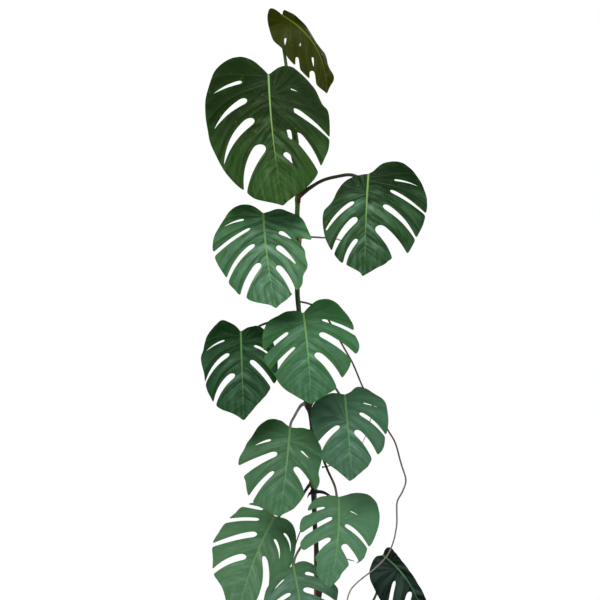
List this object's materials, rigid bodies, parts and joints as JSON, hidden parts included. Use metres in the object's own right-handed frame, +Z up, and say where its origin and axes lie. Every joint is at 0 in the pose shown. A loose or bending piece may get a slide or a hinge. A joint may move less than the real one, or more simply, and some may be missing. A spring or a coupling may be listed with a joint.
{
  "type": "potted monstera plant",
  "caption": "Tall climbing monstera with large split leaves on a slim stem, tied to a cane, in a plain tapered nursery pot with soil.",
  "frame": {"origin": "centre of the pot's flat base, on the surface it stands on", "axes": "+Z up along the plant, the leaves face -Y, +X to the viewer's right"},
  "size_m": [0.5815, 0.4061, 1.9909],
  "materials": {
    "pot": "matte",
    "soil": "matte",
    "cane": "satin",
    "stem": "satin",
    "stalk": "satin",
    "root": "matte",
    "blade": "satin",
    "tie": "matte",
    "clip": "matte"
  },
  "bodies": {
    "root": {"pot": "pot", "soil": "soil", "cane": "cane", "stem": "stem", "leaf_01": "blade", "leaf_02": "blade", "leaf_03": "blade", "leaf_04": "blade", "leaf_05": "blade", "leaf_06": "blade", "leaf_07": "blade", "leaf_08": "blade", "leaf_09": "blade", "leaf_10": "blade", "leaf_11": "blade", "leaf_12": "blade", "leaf_stalk_01": "stalk", "leaf_stalk_02": "stalk", "leaf_stalk_03": "stalk", "leaf_stalk_04": "stalk", "leaf_stalk_05": "stalk", "leaf_stalk_06": "stalk", "leaf_stalk_07": "stalk", "leaf_stalk_08": "stalk", "leaf_stalk_09": "stalk", "leaf_stalk_10": "stalk", "leaf_stalk_11": "stalk", "leaf_stalk_12": "stalk", "aerial_root_long": "root", "aerial_root_upper": "root", "aerial_root_middle": "root", "aerial_root_side": "root", "aerial_root_short": "root", "aerial_root_left": "root", "tie": "tie", "clip": "clip"}
  },
  "joints": []
}
